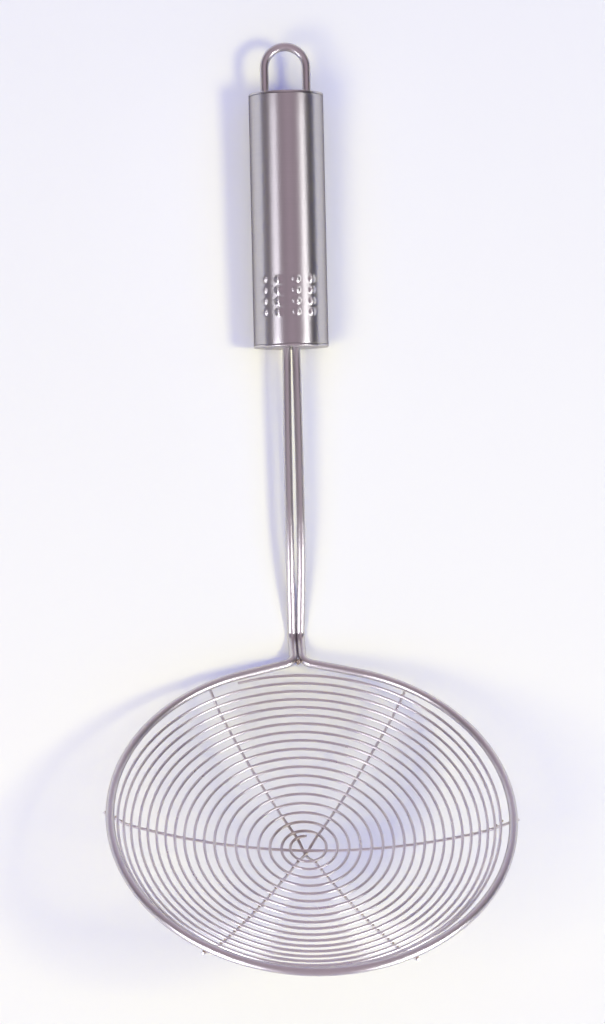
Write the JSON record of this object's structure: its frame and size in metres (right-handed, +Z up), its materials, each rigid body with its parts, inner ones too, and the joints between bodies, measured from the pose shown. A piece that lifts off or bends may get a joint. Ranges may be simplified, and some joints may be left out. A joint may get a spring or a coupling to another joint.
{
  "type": "wire spider skimmer",
  "caption": "Long-handled kitchen skimmer with a shallow dish of spiral steel wire in a round wire rim, a slim doubled wire shank, a tube handle and a hanging loop.",
  "frame": {"origin": "middle of the rectangle that the skimmer covers on the table, at the height of the table top", "axes": "+Y from the bowl to the hanging loop, +Z up from the table with the skimmer at rest, +X across the bowl"},
  "size_m": [0.1414, 0.322, 0.1077],
  "materials": {
    "frame_wire": "polished stainless steel wire",
    "mesh_wire": "bright drawn stainless steel wire",
    "weld": "heat-tinted weld steel",
    "handle_tube": "satin stainless steel, polished round the tube",
    "end_cap": "satin stainless steel disc"
  },
  "bodies": {
    "root": {"frame_wire": "frame_wire", "spiral_wire": "mesh_wire", "cross_wire_1": "mesh_wire", "cross_wire_2": "mesh_wire", "cross_wire_3": "mesh_wire", "neck_weld": "weld", "handle_tube": "handle_tube", "lower_end_cap": "end_cap", "upper_end_cap": "end_cap", "hanging_loop": "frame_wire"}
  },
  "joints": []
}
